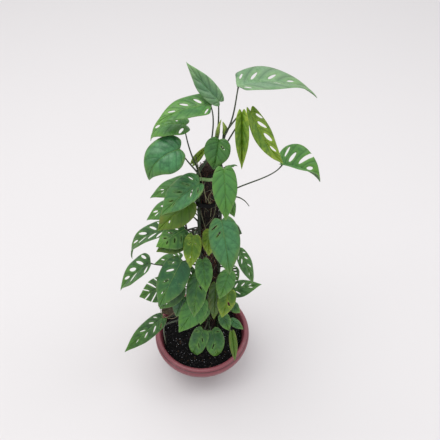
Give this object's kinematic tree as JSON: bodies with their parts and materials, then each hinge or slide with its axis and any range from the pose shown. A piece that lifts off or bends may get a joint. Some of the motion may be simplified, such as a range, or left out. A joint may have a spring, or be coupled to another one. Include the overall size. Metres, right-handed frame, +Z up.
{
  "type": "potted climbing plant",
  "caption": "Climbing swiss cheese vine with holed heart-shaped leaves on a coir pole, growing in a round flared plastic pot with a rolled rim, filled with potting soil.",
  "frame": {"origin": "centre of the pot's flat underside", "axes": "+Z up along the pot's axis, -Y towards the front that the picture shows, +X to its right"},
  "size_m": [0.4412, 0.262, 0.9501],
  "materials": {
    "pot_plastic": "satin terracotta-coloured plastic",
    "soil": "loose dark potting mix",
    "stake": "rough sawn stake",
    "coir": "coarse damp fibre",
    "tie": "soft green plant tie",
    "stem": "smooth green stem",
    "leaf_deep": "satin leaf",
    "leaf_mid": "satin leaf",
    "leaf_blue": "glossy leaf",
    "leaf_light": "satin leaf",
    "leaf_young": "satin young leaf",
    "leaf_olive": "satin ageing leaf",
    "leaf_dry": "dry curled leaf"
  },
  "bodies": {
    "root": {"pot": "pot_plastic", "soil": "soil", "pole_core": "stake", "pole_coir": "coir", "pole_tie": "tie", "stem_right": "stem", "stem_left": "stem", "stem_back": "stem", "stem_low": "stem", "leaf_01": "leaf_light", "leaf_02": "leaf_light", "leaf_03": "leaf_mid", "leaf_04": "leaf_mid", "leaf_05": "leaf_blue", "leaf_06": "leaf_deep", "leaf_07": "leaf_mid", "leaf_08": "leaf_deep", "leaf_09": "leaf_young", "leaf_10": "leaf_young", "leaf_11": "leaf_mid", "leaf_12": "leaf_young", "leaf_13": "leaf_mid", "leaf_14": "leaf_deep", "leaf_15": "leaf_blue", "leaf_16": "leaf_deep", "leaf_17": "leaf_deep", "leaf_18": "leaf_olive", "leaf_19": "leaf_mid", "leaf_20": "leaf_olive", "leaf_21": "leaf_deep", "leaf_22": "leaf_deep", "leaf_23": "leaf_deep", "leaf_24": "leaf_deep", "leaf_25": "leaf_blue", "leaf_26": "leaf_young", "leaf_27": "leaf_young", "leaf_28": "leaf_blue", "leaf_29": "leaf_mid", "leaf_30": "leaf_deep", "leaf_31": "leaf_mid", "leaf_32": "leaf_mid", "leaf_33": "leaf_olive", "leaf_34": "leaf_young", "leaf_35": "leaf_mid", "leaf_36": "leaf_mid", "leaf_37": "leaf_blue", "leaf_38": "leaf_deep", "leaf_39": "leaf_deep", "leaf_40": "leaf_deep", "leaf_41": "leaf_deep", "leaf_42": "leaf_mid", "leaf_43": "leaf_mid", "leaf_44": "leaf_mid", "leaf_45": "leaf_olive", "leaf_46": "leaf_blue", "leaf_47": "leaf_mid", "dry_leaf": "leaf_dry"}
  },
  "joints": []
}
